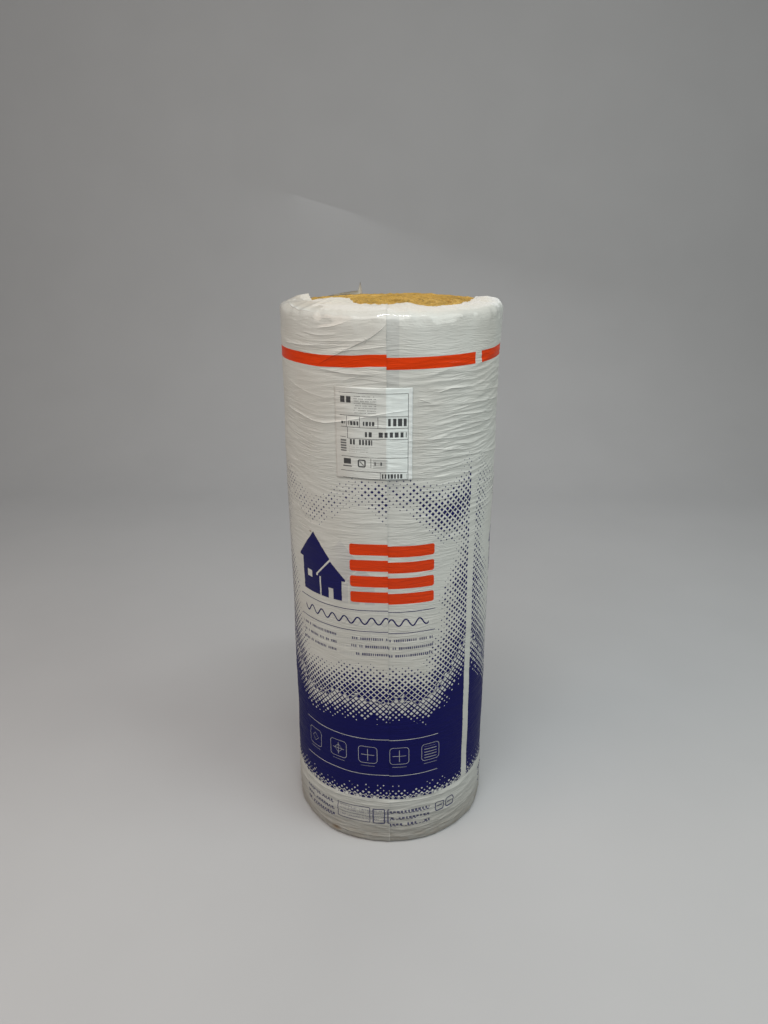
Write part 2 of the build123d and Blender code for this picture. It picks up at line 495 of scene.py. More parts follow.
def film_grid():
    """The film's points, and each point's place along and up the film."""
    columns = film_columns()
    rows = film_rows()
    distance, height, along, up = np.zeros((4, len(rows), len(columns)))
    share_along = (columns - columns[0]) / (columns[-1] - columns[0])
    for index, (stretch, share, place) in enumerate(rows):
        seam = seam_along(min(max(place / HEIGHT, 0), 1))
        ragged = 0.0006 * float(lattice_noise(np.array(place / 0.03), np.array(0.3), 41))
        along[index] = columns + share_along * (seam + ragged + GIRTH - columns[-1])
        turn = np.degrees(along[index] / RADIUS)
        distance[index], height[index] = film_base(turn, stretch, share, place)
        up[index] = place
        if stretch == "top fold":
            up[index] += share * np.maximum(around_rim(turn, RIM_EDGE) / 1000 - RIM_ROUND, 0.004)
    points = on_roll(along / RADIUS, distance, height)
    normals = np.cross(np.gradient(points, axis=1), np.gradient(points, axis=0))
    normals /= np.linalg.norm(normals, axis=-1, keepdims=True)
    relief = film_relief(wrap_along(along), up)
    relief *= np.where(up < 0, smooth(up, -0.02, 0.0), 1)
    climbed = smooth(along, columns[0] + GIRTH - LAYER_CLIMB, columns[0] + GIRTH)
    curl = smooth(along, columns[-1] - 0.012, columns[-1]) * (0.5 + lattice_noise(up / 0.04, along * 0, 42))
    relief = relief + LAYER_STEP * climbed + 0.0004 * curl
    pressed = np.maximum(relief, 0) * 0.15 + 0.0002 * climbed
    relief = np.where(height < 0.004, pressed, relief)
    points = points + normals * relief[..., None]
    points[..., 2] = np.maximum(points[..., 2], 0.0007 - 0.0003 * climbed)
    return points, along, up


def print_rise(along, up):
    """How far the print sits above its plain height, in metres: the film is wound slightly askew."""
    turn = np.degrees(along / RADIUS)
    turns, at_band, at_stripe = zip(*PRINT_RISES)
    share = np.clip((up - RISE_FROM) / (STRIPE[0] - RISE_FROM), 0, 1)
    band, stripe = (np.interp(turn, turns, heights) for heights in (at_band, at_stripe))
    return (band * (1 - share) + stripe * share) / 1000


def grid_faces(rows, columns, closed=False):
    """Quads of a grid of points, which may close around from its last column to its first."""
    quads = np.arange(columns if closed else columns - 1)
    row, column = np.meshgrid(np.arange(rows - 1) * columns, quads, indexing="ij")
    after = (column + 1) % columns
    corners = (row + column, row + after, row + columns + after, row + columns + column)
    return np.stack([corner.ravel() for corner in corners], axis=1)


def new_object(name, data):
    """A new object in the scene."""
    thing = bpy.data.objects.new(name, data)
    bpy.context.scene.collection.objects.link(thing)
    return thing


def make_mesh(name, points, faces, maps, material):
    """A smooth mesh object from points and quads, with named maps of a pair of numbers for each point."""
    mesh = bpy.data.meshes.new(name)
    mesh.from_pydata(points.reshape(-1, 3).tolist(), [], faces.tolist())
    corners = np.zeros(len(mesh.loops), dtype=np.int32)
    mesh.loops.foreach_get("vertex_index", corners)
    for map_name, values in maps.items():
        layer = mesh.uv_layers.new(name=map_name)
        layer.data.foreach_set("uv", values.reshape(-1, 2)[corners].astype(np.float32).ravel())
    mesh.polygons.foreach_set("use_smooth", np.ones(len(mesh.polygons), dtype=bool))
    mesh.update()
    mesh.validate()
    mesh.materials.append(material)
    return new_object(name, mesh)


class Wire:
    """A number inside a material, so that a pattern reads as plain sums."""

    def __init__(self, socket):
        self.socket = socket

    def __add__(self, other):
        return calculate("ADD", self, other)

    def __sub__(self, other):
        return calculate("SUBTRACT", self, other)

    def __mul__(self, other):
        return calculate("MULTIPLY", self, other)

    def __truediv__(self, other):
        return calculate("DIVIDE", self, other)

    def __radd__(self, other):
        return calculate("ADD", other, self)

    def __rsub__(self, other):
        return calculate("SUBTRACT", other, self)

    def __rmul__(self, other):
        return calculate("MULTIPLY", other, self)

    def math(self, operation, *others):
        return calculate(operation, self, *others)

    def least(self, other):
        return calculate("MINIMUM", self, other)

    def most(self, other):
        return calculate("MAXIMUM", self, other)

    def size(self):
        return calculate("ABSOLUTE", self)

    def part(self):
        """What is left over the whole number below."""
        return calculate("FRACT", self)

    def clamped(self):
        return calculate("ADD", self, 0.0, clamp=True)

    def above(self, edge):
        """1 above the edge and 0 elsewhere."""
        return calculate("GREATER_THAN", self, edge)

    def below(self, edge):
        """1 below the edge and 0 elsewhere."""
        return calculate("LESS_THAN", self, edge)

    def between(self, low, high):
        """1 from low to high and 0 elsewhere."""
        return calculate("COMPARE", self, (low + high) / 2, (high - low) / 2)

    def over(self, edge, soft):
        """0 below the edge and 1 above it, with a soft step between."""
        node = new_node(tree_of(self), "MapRange", interpolation_type="SMOOTHSTEP")
        feed(node, {"Value": self, "From Min": edge - soft, "From Max": edge + soft})
        return Wire(node.outputs["Result"])


def tree_of(*values):
    """The node tree that holds the first wire or socket among these values."""
    sockets = [value.socket if isinstance(value, Wire) else value for value in values]
    return next(socket.id_data for socket in sockets if isinstance(socket, bpy.types.NodeSocket))


def new_node(tree, kind, **settings):
    """A new node of this kind, with its settings."""
    node = tree.nodes.new("ShaderNode" + kind)
    for name, value in settings.items():
        setattr(node, name, value)
    return node


def attach(value, socket):
    """Feeds a wire, a socket or a plain value into a socket."""
    if isinstance(value, Wire):
        socket.id_data.links.new(value.socket, socket)
    elif isinstance(value, bpy.types.NodeSocket):
        socket.id_data.links.new(value, socket)
    else:
        socket.default_value = value


def attach_all(values, node):
    """Feeds values into a node's first sockets."""
    for value, socket in zip(values, node.inputs):
        attach(value, socket)


def feed(node, values):
    """Feeds values into a node's sockets by their names."""
    for name, value in values.items():
        attach(value, node.inputs[name])


def calculate(operation, *values, clamp=False):
    """One sum of a material, as a wire."""
    node = new_node(tree_of(*values), "Math", operation=operation, use_clamp=clamp)
    attach_all(values, node)
    return Wire(node.outputs[0])


def join(x, y, z=0.0):
    """A vector of three wires or numbers."""
    node = new_node(tree_of(x, y, z), "CombineXYZ")
    attach_all((x, y, z), node)
    return node.outputs[0]


def parts_of(spot):
    """A vector's first two coordinates, as wires."""
    node = new_node(spot.id_data, "SeparateXYZ")
    attach(spot, node.inputs[0])
    return Wire(node.outputs[0]), Wire(node.outputs[1])


def place_of(tree, map_name):
    """The two coordinates of a named map."""
    return parts_of(new_node(tree, "UVMap", uv_map=map_name).outputs[0])


def vector(operation, spot, *others):
    """One sum with vectors. A length comes back as a wire."""
    node = new_node(spot.id_data, "VectorMath", operation=operation)
    attach_all((spot, *others), node)
    return Wire(node.outputs["Value"]) if operation == "LENGTH" else node.outputs["Vector"]


def noise(spot, scale=1.0, detail=2.0, roughness=0.5, kind="FBM"):
    """A noise texture's grey value, from 0 to 1 for the plain kind."""
    node = new_node(spot.id_data, "TexNoise", noise_type=kind)
    feed(node, {"Vector": spot, "Scale": scale, "Detail": detail, "Roughness": roughness})
    return Wire(node.outputs[0])


def grain(x, y, z=0.0, **settings):
    """Noise at a place that is given by its coordinates."""
    return noise(join(x, y, z), **settings)


def vein(value):
    """Thin sharp crests where a noise passes its middle."""
    return (1 - (value - 0.5).size() * 6).most(0.0)


def random_value(spot):
    """A random number from 0 to 1 for each vector."""
    node = new_node(spot.id_data, "TexWhiteNoise")
    attach(spot, node.inputs["Vector"])
    return Wire(node.outputs["Value"])


def mixed(share, first, second):
    """Two colours mixed by a wire or a number."""
    node = new_node(tree_of(share, first, second), "Mix", data_type="RGBA")
    feed(node, {"Factor": share, "A": first, "B": second})
    return node.outputs["Result"]


def layered(paint, layers):
    """A colour with others over it, each given by how much it covers and the values that it should show."""
    for share, tint in layers:
        paint = mixed(share, paint, colour(*tint))
    return paint


def colour(red, green, blue):
    """A colour given as the 0 to 255 values that it should show."""
    linear = []
    for value in (red, green, blue):
        share = value / 255
        linear.append(share / 12.92 if share <= 0.04045 else ((share + 0.055) / 1.055) ** 2.4)
    return (*linear, 1.0)


def new_material(name, roughness):
    """A material with its node tree and its shader."""
    material = bpy.data.materials.new(name)
    material.use_nodes = True
    shader = material.node_tree.nodes["Principled BSDF"]
    feed(shader, {"Roughness": roughness})
    return material, material.node_tree, shader


def add_bump(shader, height):
    """Surface relief from a height in metres."""
    bump = new_node(shader.id_data, "Bump")
    feed(bump, {"Strength": 1.0, "Distance": 1.0, "Height": height})
    attach(bump.outputs[0], shader.inputs["Normal"])


def box_distance(spot, middle, half, corner):
    """The distance from a rounded box's outline. It is below 0 inside, down to the corner's size."""
    off = vector("SUBTRACT", spot, (*middle, 0))
    off = vector("ABSOLUTE", off)
    off = vector("SUBTRACT", off, (half[0] - corner, half[1] - corner, 0))
    off = vector("MAXIMUM", off, (0, 0, 0))
    return vector("LENGTH", off) - corner


def line_at(distance, width):
    """A line of this width where the distance is 0."""
    return distance.math("COMPARE", 0.0, width / 2)


def most_of(shapes):
    """All the shapes together."""
    total = shapes[0]
    for shape in shapes[1:]:
        total = total.most(shape)
    return total


def area(x, z, left, right, low, high):
    """1 inside a rectangle."""
    return x.between(left, right) * z.between(low, high)


def in_cell(value, start, pitch):
    """How far a value lies into its cell, in a row of cells."""
    return ((value - start) / pitch).part() * pitch


def lines_of(z, foot, pitch, tall):
    """Level lines of this height, one above the other."""
    return ((z - foot) / pitch).part().below(tall / pitch)


def dashes(x, z, cell, row):
    """A field of meaningless dashes, each in a cell of this width, with rows of this height."""
    level = (z / row).math("FLOOR")
    spot = x / cell + level * 0.37
    value = random_value(join(spot.math("FLOOR"), level, cell * 1000))
    off = (spot.part() - 0.5).size()
    return off.below(value * 0.20 + 0.21) * value.above(0.14)


def halftone(along, up, tone):
    """Diamond dots on a slanted lattice. They grow with the tone, and turn pale past its middle."""
    spot = join((along + up) / DOT_PITCH, (along - up) / DOT_PITCH)
    uneven = random_value(vector("FLOOR", spot)) - 0.5
    off = vector("SUBTRACT", vector("FRACTION", spot), (0.5, 0.5, 0))
    off_x, off_y = parts_of(vector("ABSOLUTE", off))
    tone = tone + uneven * (tone * 1.6).least(0.16)
    turned = tone.above(PALE_FROM)
    size = (tone / PALE_FROM).least((1 - tone) * (0.85 / (1 - PALE_FROM))).clamped().math("SQRT") * 0.44
    dots = (size - off_x.most(off_y)).over(0.0, 0.02) * size.above(0.07)
    return (dots - turned).size()


def print_tone(place, up, from_gap):
    """How dark the dotted part of the print is: full in the band, then fading up in waves."""
    wave = (place * (WAVE_TURN * 2 / PANEL) + 0.9).math("SINE")
    near_gap = (1 - from_gap / 0.110).clamped()
    solid = wave * 0.006 + near_gap * 0.085 + BAND_SOLID
    fade = 1 - (up - solid) / (near_gap * 0.090 + (BAND_FADE - BAND_SOLID))
    sway = (up * (WAVE_TURN / 0.17)).math("SINE") * 0.012
    side = 1 - (from_gap + sway - 0.010) / (0.102 - up.over(0.60, 0.10) * 0.05)
    side = side.clamped() * ((0.94 - up) * 1.24).clamped()
    right = place.over(0.33, 0.09)
    ripple = (place * (WAVE_TURN * 2 / PANEL) + 0.46).math("SINE") * 0.026
    ribbon = 1 - (up - ripple - RIBBON).size() / (right * 0.035 + 0.040)
    ribbon = ribbon.clamped() * (right * 0.36 + 0.10)
    speckle = grain(place * 40, up * 40, detail=1.0)
    tone = side.most(ribbon) * (speckle * 0.90 + 0.50)
    tone = (fade * 1.05 + speckle * 0.16 - 0.08).most(tone).most(0.0)
    inside = up - (BAND_FOOT + 0.008)
    return tone.least(inside * 6 + 0.86).least(inside.above(0.0) + 0.58).least(1.2)


def band_marks(place, up):
    """The thin pale lines in the blue band: two rules, and four boxed signs between them."""
    rules = most_of([line_at(up - rule, 0.0014) for rule in BAND_RULES]) * place.between(RULE_FROM, 0.364)
    steps = (place - SIGN_FROM) / SIGN_PITCH
    kind = steps.math("FLOOR")
    local = join((steps.part() - 0.5) * SIGN_PITCH, up)
    row = place.between(SIGN_FROM, SIGN_FROM + 4 * SIGN_PITCH)
    box = box_distance(local, (0, SIGN_MIDDLE), (0.0215, 0.0215), 0.008)
    off_x, off_z = parts_of(vector("ABSOLUTE", vector("SUBTRACT", local, (0, SIGN_MIDDLE, 0))))
    slanted = line_at(off_x + off_z - 0.0105, 0.0012) * kind.below(1.5)
    crossed = line_at(off_x, 0.0014).most(line_at(off_z, 0.0014)) * kind.above(0.5) * kind.below(2.5)
    ruled = line_at((up * (1 / 0.0075)).part() - 0.5, 0.22) * kind.above(2.5)
    sign = slanted.most(crossed).most(ruled) * box.below(-0.0062)
    caption = up.between(0.2130, 0.2140) * off_x.below(0.016)
    return most_of([rules, line_at(box, 0.0011) * row * 0.8, sign * row * 0.7, caption * row * 0.6]) * 0.85


def centre_mark(place, up):
    """The ornament in the panel's middle: two dark houses, and beside them a stack of four orange bars."""
    houses = []
    for middle, half, eaves, peak in HOUSES:
        aside = (place - middle).size()
        under_roof = (up + aside * ((peak - eaves) / half)).below(peak)
        roof = under_roof * up.above(eaves - 0.004) * aside.below(half)
        houses.append(roof.most(up.between(HOUSE_FOOT, eaves) * aside.below(half * 0.76)))
    window_hole = area(place, up, 0.126, 0.142, 0.650, 0.666)
    door_hole = area(place, up, 0.190, 0.202, HOUSE_FOOT, 0.640)
    dark = (houses[0] * (1 - houses[1])).most(houses[2]) * (1 - window_hole.most(door_hole))
    spot = join(place, in_cell(up, BARS[0], BAR_PITCH))
    bar = box_distance(spot, (0.2950, BAR_PITCH / 2), (0.0530, 0.0122), 0.005)
    return dark, bar.below(0.0) * up.between(*BARS)


def foot_marks(place, up, odd):
    """The small print in the pale margin at the film's foot. Every second panel has boxes there."""
    rows = dashes(place, up, 0.0085, 0.0175) * lines_of(up, FOOT_PRINT, 0.0175, 0.0085)
    rows = rows * up.between(FOOT_PRINT, 0.0935) * place.above(0.085) * place.below(0.345 - odd * 0.160)
    boxes = line_at(box_distance(join(place, up), (0.235, 0.078), (0.0400, 0.0200), 0.002), 0.0020)
    spot = join(in_cell(place, 0.279, 0.034), up)
    pair = line_at(box_distance(spot, (0.017, 0.077), (0.0130, 0.0190), 0.002), 0.0032)
    boxes = boxes.most(pair * place.between(0.279, 0.347))
    fine = dashes(place, up, 0.0040, 0.0082) * lines_of(up, 0.0640, 0.0082, 0.0040)
    boxes = boxes.most(fine * area(place, up, 0.200, 0.345, 0.0640, 0.0930) * 0.6) * odd
    spot = join(in_cell(place, 0.3570, 0.029), up)
    sign = box_distance(spot, (0.0145, 0.084), (0.0112, 0.0112), 0.005)
    sign = line_at(sign, 0.0028).most(line_at(up - 0.084, 0.0040) * sign.below(-0.004))
    return most_of([rows, boxes, sign * place.between(0.3570, 0.4150)]) * 0.82


def new_group(name, inputs, outputs):
    """An empty node group with number sockets: its tree, its input wires and its output sockets."""
    tree = bpy.data.node_groups.new(name, "ShaderNodeTree")
    for socket in inputs:
        tree.interface.new_socket(socket, in_out="INPUT", socket_type="NodeSocketFloat")
    for socket in outputs:
        tree.interface.new_socket(socket, in_out="OUTPUT", socket_type="NodeSocketFloat")
    entry = tree.nodes.new("NodeGroupInput")
    leave = tree.nodes.new("NodeGroupOutput")
    return tree, [Wire(entry.outputs[socket]) for socket in inputs], leave.inputs


def use_group(group, *values):
    """One use of a node group, as its output wires."""
    node = new_node(tree_of(*values), "Group", node_tree=group)
    attach_all(values, node)
    return [Wire(socket) for socket in node.outputs]


def mark_group():
    """The bold part of the print, which also shows through the film's overlap."""
    tree, (place, up), results = new_group("film_marks", ("place", "up"), ("dark", "orange"))
    dark, orange = centre_mark(place, up)
    rules = most_of([line_at(up - rule, 0.0017) for rule in MARK_RULES]) * place.between(RULE_FROM, RULE_TO)
    swing = (place - 0.2195) * (WAVE_TURN / WAVE_PITCH)
    slope = swing.math("COSINE") * (WAVE_HEIGHT * WAVE_TURN / WAVE_PITCH)
    off = (up - swing.math("SINE") * WAVE_HEIGHT - WAVE_MIDDLE).size()
    wave = off.below((slope * slope + 1).math("SQRT") * 0.0016) * place.between(0.112, 0.337)
    fine = dashes(place, up, 0.0046, 0.0185) * lines_of(up, SMALL_PRINT, 0.0185, 0.0060)
    columns = place.between(0.097, 0.205).most(place.between(0.240, 0.348))
    small = fine * columns * up.between(SMALL_PRINT, 0.5400) * 0.85
    attach(most_of([dark, rules, wave, small]), results["dark"])
    attach(orange, results["orange"])
    return tree


def across_panels(along, up, layer=0):
    """The place along the panels, which lean a little, and in the panel. Layer 1 is one turn further in."""
    line = along + up * PANEL_SKEW + (PANEL_START - PANEL_PIVOT * PANEL_SKEW - layer * GIRTH)
    return line, line.math("FLOORED_MODULO", PANEL)


def print_group():
    """The rest of the print: its blue part, its orange stripe and the place across the panel."""
    tree, (along, up), results = new_group("film_print", ("along", "up"), ("blue", "orange", "place"))
    line, place = across_panels(along, up)
    odd = (line / (2 * PANEL)).part().above(0.5)
    from_gap = place.least(PANEL - PANEL_GAP_LEFT - place)
    panel = from_gap.above(PANEL_GAP / 2)
    dots = halftone(along, up, print_tone(place, up, from_gap))
    blue = dots * up.above(BAND_FOOT) * panel * (1 - band_marks(place, up))
    attach(blue.most(foot_marks(place, up, odd)), results["blue"])
    attach(up.between(*STRIPE) * panel, results["orange"])
    attach(place, results["place"])
    return tree


def film_wrinkle_bump(tree, along, up):
    """Fine crinkles of the film, mostly level, as a height in metres."""
    level = up + grain(along * 9, up * 14, detail=1.0) * 0.020
    crisp = vein(grain(along * 13, level * 115, roughness=0.6))
    finer = grain(along * 34, level * 300, 3.0)
    patch = grain(along * 8, up * 9, 7.0, detail=1.0).over(0.50, 0.16)
    right = (along - 0.225).size().below(0.17) * (1 - (up - 0.96).size().over(0.13, 0.05))
    strength = (patch * 0.00034 + 0.00022) * (1 - up.over(1.150, 0.015) * 0.55)
    strength = strength + right * 0.00018 + (1 - up.over(0.10, 0.03)) * 0.00040
    folded = up.over(HEIGHT - 0.004, 0.018) + (1 - up.over(-0.004, 0.010))
    pleats = vein(grain(along * 62, up * 9, 11.0, detail=3.0, roughness=0.6)) * folded
    total = (crisp * crisp * strength + finer * 0.00032) * (1 - folded) + pleats * pleats * 0.0005
    crumple = grain(along * 130, up * 130, 5.0, detail=3.0, kind="RIDGED_MULTIFRACTAL").least(3.0)
    rim = 1 - (up - HEIGHT).size().over(0.026, 0.014)
    total = total + crumple * (up.over(HEIGHT, 0.012) * 0.00022 + rim * 0.00058 + 0.00005)
    off, fold_height = place_of(tree, "film_creases")
    peak = (1 - off.size() / 0.0022).most(0.0)
    return total + peak * peak * fold_height * 0.45


def bare_film(along, up):
    """The bare film's colour: milky, stained, grimy at its foot, and with painted shade darkening it there.
    """
    tone = grain(along * 7, up * 5, detail=3.0)
    smudge = grain(along * 5, up * 3, 5.0, detail=3.0).over(0.56, 0.16)
    on_fold = up.over(HEIGHT + 0.010, 0.018)
    inner_edge = (along - 0.005).size().below(0.0125) * up.between(0.86, HEIGHT - 0.004)
    # Painted shade: the film grows darker towards its foot, where less light reaches it.
    near_foot = 1 - up.over(0.080, 0.080)
    grime = (1 - up.over(0.030, 0.040)) * grain(along * 30, up * 60, detail=4.0).over(0.50, 0.10)
    layers = [
        (smudge * 0.22, (172, 162, 150)),
        (on_fold * 0.52, (188, 178, 160)),
        (inner_edge * 0.30, (156, 161, 162)),
        (near_foot * 0.72, (141, 138, 132)),
        (grime * 0.35, (120, 106, 84)),
    ]
    spot = join(along, up * 2)
    for turn, height, size in STAINS:
        centre = (math.radians(turn) * RADIUS + GIRTH, height * 2, 0)
        spread = vector("LENGTH", vector("SUBTRACT", spot, centre))
        layers.append(((1 - spread.over(size * 0.6, size * 0.6)) * 0.85, (112, 88, 56)))
    # Painted highlight: a thin pale line along the film's cut end at the seam.
    layers.append((along.above(GIRTH - 0.0022) * 0.25, (225, 226, 224)))
    return layered(mixed(tone, colour(188, 191, 186), colour(201, 204, 200)), layers)


def film_material():
    """White plastic film with its print, with the layer below showing faintly beside the seam."""
    material, tree, shader = new_material("film", 0.42)
    along, up = place_of(tree, "film_place")
    marks = mark_group()
    blue, orange, place = use_group(print_group(), along, up)
    dark, bright = use_group(marks, place, up)
    dark_below, bright_below = use_group(marks, across_panels(along, up, 1)[1], up + 0.004)
    ghost = along.over(seam_along(0) + GIRTH - 0.115, 0.045) * 0.16
    glossy_rim = 1 - (up - HEIGHT).size().over(0.044, 0.020)
    feed(shader, {
        "Base Color": layered(bare_film(along, up), (
            (ghost * dark_below, (70, 72, 120)),
            (ghost * bright_below, (205, 110, 70)),
            (blue.most(dark) * 0.99, PRINT_BLUE),
            (orange.most(bright) * 0.99, PRINT_ORANGE),
        )),
        "Roughness": grain(along * 25, up * 60, detail=3.0) * 0.16 + 0.36,
        "Specular IOR Level": 0.02,
        "Coat Weight": glossy_rim * 0.52 + 0.24 - blue * 0.20,
        "Coat Roughness": 0.07,
        "Coat IOR": 1.55,
    })
    add_bump(shader, film_wrinkle_bump(tree, along, up))
    return material


def film():
    """The film as one sheet: wall, overlap, foot fold and the crumpled top fold."""
    points, along, up = film_grid()
    span = max(np.ptp(along), np.ptp(up)) * 1.01
    chart = np.stack([(along - along.min()) / span + 0.002, (up - up.min()) / span + 0.002], axis=-1)
    places = np.stack([along, up - print_rise(along, up)], axis=-1)
    maps = {"OFBake": chart, "film_place": places, "film_creases": nearest_crease(wrap_along(along), up)}
    sheet = make_mesh("film_wrap_film", points, grid_faces(*along.shape), maps, film_material())
    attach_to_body(sheet, "root")
    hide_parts("film_wrap")


def wool_height(distance, turn, seed):
    """The relief of the blanket's edge on the roll's end, and how many turns along the blanket it lies."""
    spiral = (distance - BORE_RADIUS) / TURN_PITCH - turn / (2 * math.pi)
    lap = np.floor(spiral)
    part = spiral - lap
    path = lap + turn / (2 * math.pi)
    uneven = 0.75 + 0.45 * lattice_noise(path * 6, np.full_like(path, 1.5), seed + 5)
    groove = np.abs(2 * part - 1) ** 7 * uneven
    sway = lattice_noise(path * 4.0, np.full_like(path, 0.5), seed)
    layers = lattice_noise(path * 22, part * 7 + 3 * sway, seed + 1)
    tufts = lattice_noise(path * 90, part * 16, seed + 2)
    fine = lattice_noise(path * 260, part * 40, seed + 3)
    lean = (part - 0.5) * lattice_noise(path * 3, np.full_like(path, 2.5), seed + 4)
    torn = np.minimum(lattice_noise(path * 14, part * 3, seed + 6) + 0.35, 0)
    relief = 0.0024 * sway + 0.0020 * layers + 0.0018 * tufts + 0.0009 * fine + 0.003 * lean
    return relief - GROOVE_DEPTH * groove + 0.006 * torn, path


def rise_under_fold(distance, turn):
    """How far the blanket swells up under the lifted edge of the film's top fold, in metres."""
    from_front = np.degrees(turn) + 90
    reach = around_rim(from_front, RIM_EDGE) / 1000
    lift = np.maximum(around_rim(from_front, RIM_EDGE, 2), 0) / 1000 * smooth(reach, 0.030, 0.050)
    share = np.clip((RADIUS - RIM_ROUND - distance) / np.maximum(reach - RIM_ROUND, 0.010), 0, 1)
    beyond = smooth(RADIUS - distance - reach, 0.0, 0.030)
    return 0.6 * lift * np.sin(share * math.pi / 2) ** 1.4 * (1 - beyond)


def wool_end(level, sign, rings, seed):
    """One end of the roll: rings of points from the bore out to the wall, and their places in the wool."""
    outer = WOOL_RADIUS - 0.0040
    spoke_turns = np.linspace(0, 2 * math.pi, WOOL_SPOKES, endpoint=False)
    share, turn = np.meshgrid(shares(rings - 1), spoke_turns, indexing="ij")
    distance = BORE_RADIUS + (outer - BORE_RADIUS) * share
    relief, path = wool_height(distance, turn, seed)
    rim = -0.009 * smooth(distance, outer - 0.014, outer) ** 1.2
    mouth = -0.010 * (1 - smooth(distance, BORE_RADIUS, BORE_RADIUS + 0.014)) ** 1.5
    ragged = 0.0018 * lattice_noise(turn / (2 * math.pi) * 40, np.full_like(turn, 0.5), seed + 7, 40)
    distance = distance + ragged * smooth(distance, outer - 0.02, outer)
    dome = -0.004 * share**2
    swell = rise_under_fold(distance, turn) if sign > 0 else 0
    height = level + sign * (relief + rim + mouth + dome + swell)
    points = np.stack([distance * np.cos(turn), distance * np.sin(turn), height], axis=-1)
    places = np.stack([path * 0.8, distance], axis=-1)
    return points, places


def wool_material():
    """Glass wool: fine fibres in thin layers, straw yellow with darker and paler streaks."""
    material, tree, shader = new_material("wool", 0.95)
    path, distance = place_of(tree, "wool_place")
    layers = grain(path * 5, distance * 95, 2.0)
    streaks = grain(path * 14, distance * 420, detail=4.0, roughness=0.65)
    tufts = grain(path * 90, distance * 190, 4.0, detail=4.0, roughness=0.75)
    fibres = grain(path * 330, distance * 700, 9.0, detail=3.0, roughness=0.8)
    ramp = new_node(tree, "ValToRGB")
    stops = ramp.color_ramp.elements
    stops.new(0.5)
    for stop, (position, tint) in zip(stops, WOOL_COLOURS):
        stop.position = position
        stop.color = colour(*tint)
    feed(ramp, {"Fac": layers * 0.40 + streaks * 0.30 + tufts * 0.18 + fibres * 0.14 - 0.02})
    shade = distance.over(WOOL_RADIUS - 0.012, 0.010) * layers.over(0.55, 0.15) * 0.7
    straw = mixed(shade, ramp.outputs["Color"], colour(84, 76, 34))
    feed(shader, {"Base Color": straw, "Sheen Weight": 0.06, "Specular IOR Level": 0.1})
    add_bump(shader, streaks * 0.0022 + tufts * 0.0026 + fibres * 0.0014)
    return material


def wool():
    """The rolled blanket: both ends with their turns, the wall under the film and the bore."""
    top, top_places = wool_end(WOOL_HIGH[2] - 0.001, 1, TOP_RINGS, TOP_SEED)
    foot, foot_places = wool_end(WOOL_LOW[2] + 0.0005, -1, FOOT_RINGS, FOOT_SEED)
    foot[..., 2] = np.maximum(foot[..., 2], WOOL_LOW[2])
    wall_shares = shares(15)[1:-1]
    bore_shares = shares(11)[1:-1]
    wall = [(top[-1] * (1 - share) + foot[-1] * share) * (0.980, 0.980, 1) for share in wall_shares]
    wall_places = [top_places[-1] * (1 - share) + foot_places[-1] * share for share in wall_shares]
    bore = [foot[0] * (1 - share) + top[0] * share for share in bore_shares]
    bore_places = [top_places[0] + (0, 0.01 * share) for share in bore_shares]
    points = np.concatenate([top, wall, foot[::-1], bore, top[:1]])
    places = np.concatenate([top_places, wall_places, foot_places[::-1], bore_places, top_places[:1]])
    wall_from, foot_from, bore_from = np.cumsum([len(top), len(wall), len(foot)])
    chart = np.zeros((len(points), WOOL_SPOKES, 2))
    chart[..., 0] = np.arange(WOOL_SPOKES) / WOOL_SPOKES
    chart[wall_from:foot_from, :, 1] = np.linspace(0.55, 0.90, len(wall))[:, None]
    chart[bore_from:, :, 1] = np.linspace(0.92, 0.98, len(points) - bore_from)[:, None]
    for middle, end in ((0.25, slice(0, wall_from)), (0.75, slice(foot_from, bore_from))):
        chart[end] = points[end, :, :2] * (0.235 / WOOL_RADIUS) + (middle, 0.25)
    faces = grid_faces(len(points), WOOL_SPOKES, closed=True)[:, ::-1]
    maps = {"OFBake": chart, "wool_place": places}
    roll = make_mesh("wool_roll_wool", points, faces, maps, wool_material())
    weld(roll)
    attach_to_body(roll, "root")
    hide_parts("wool_roll")


def weld(thing, distance=0.00001):
    """Joins points that lie in one place."""
    mesh = bmesh.new()
    mesh.from_mesh(thing.data)
    bmesh.ops.remove_doubles(mesh, verts=mesh.verts, dist=distance)
    mesh.to_mesh(thing.data)
    mesh.free()


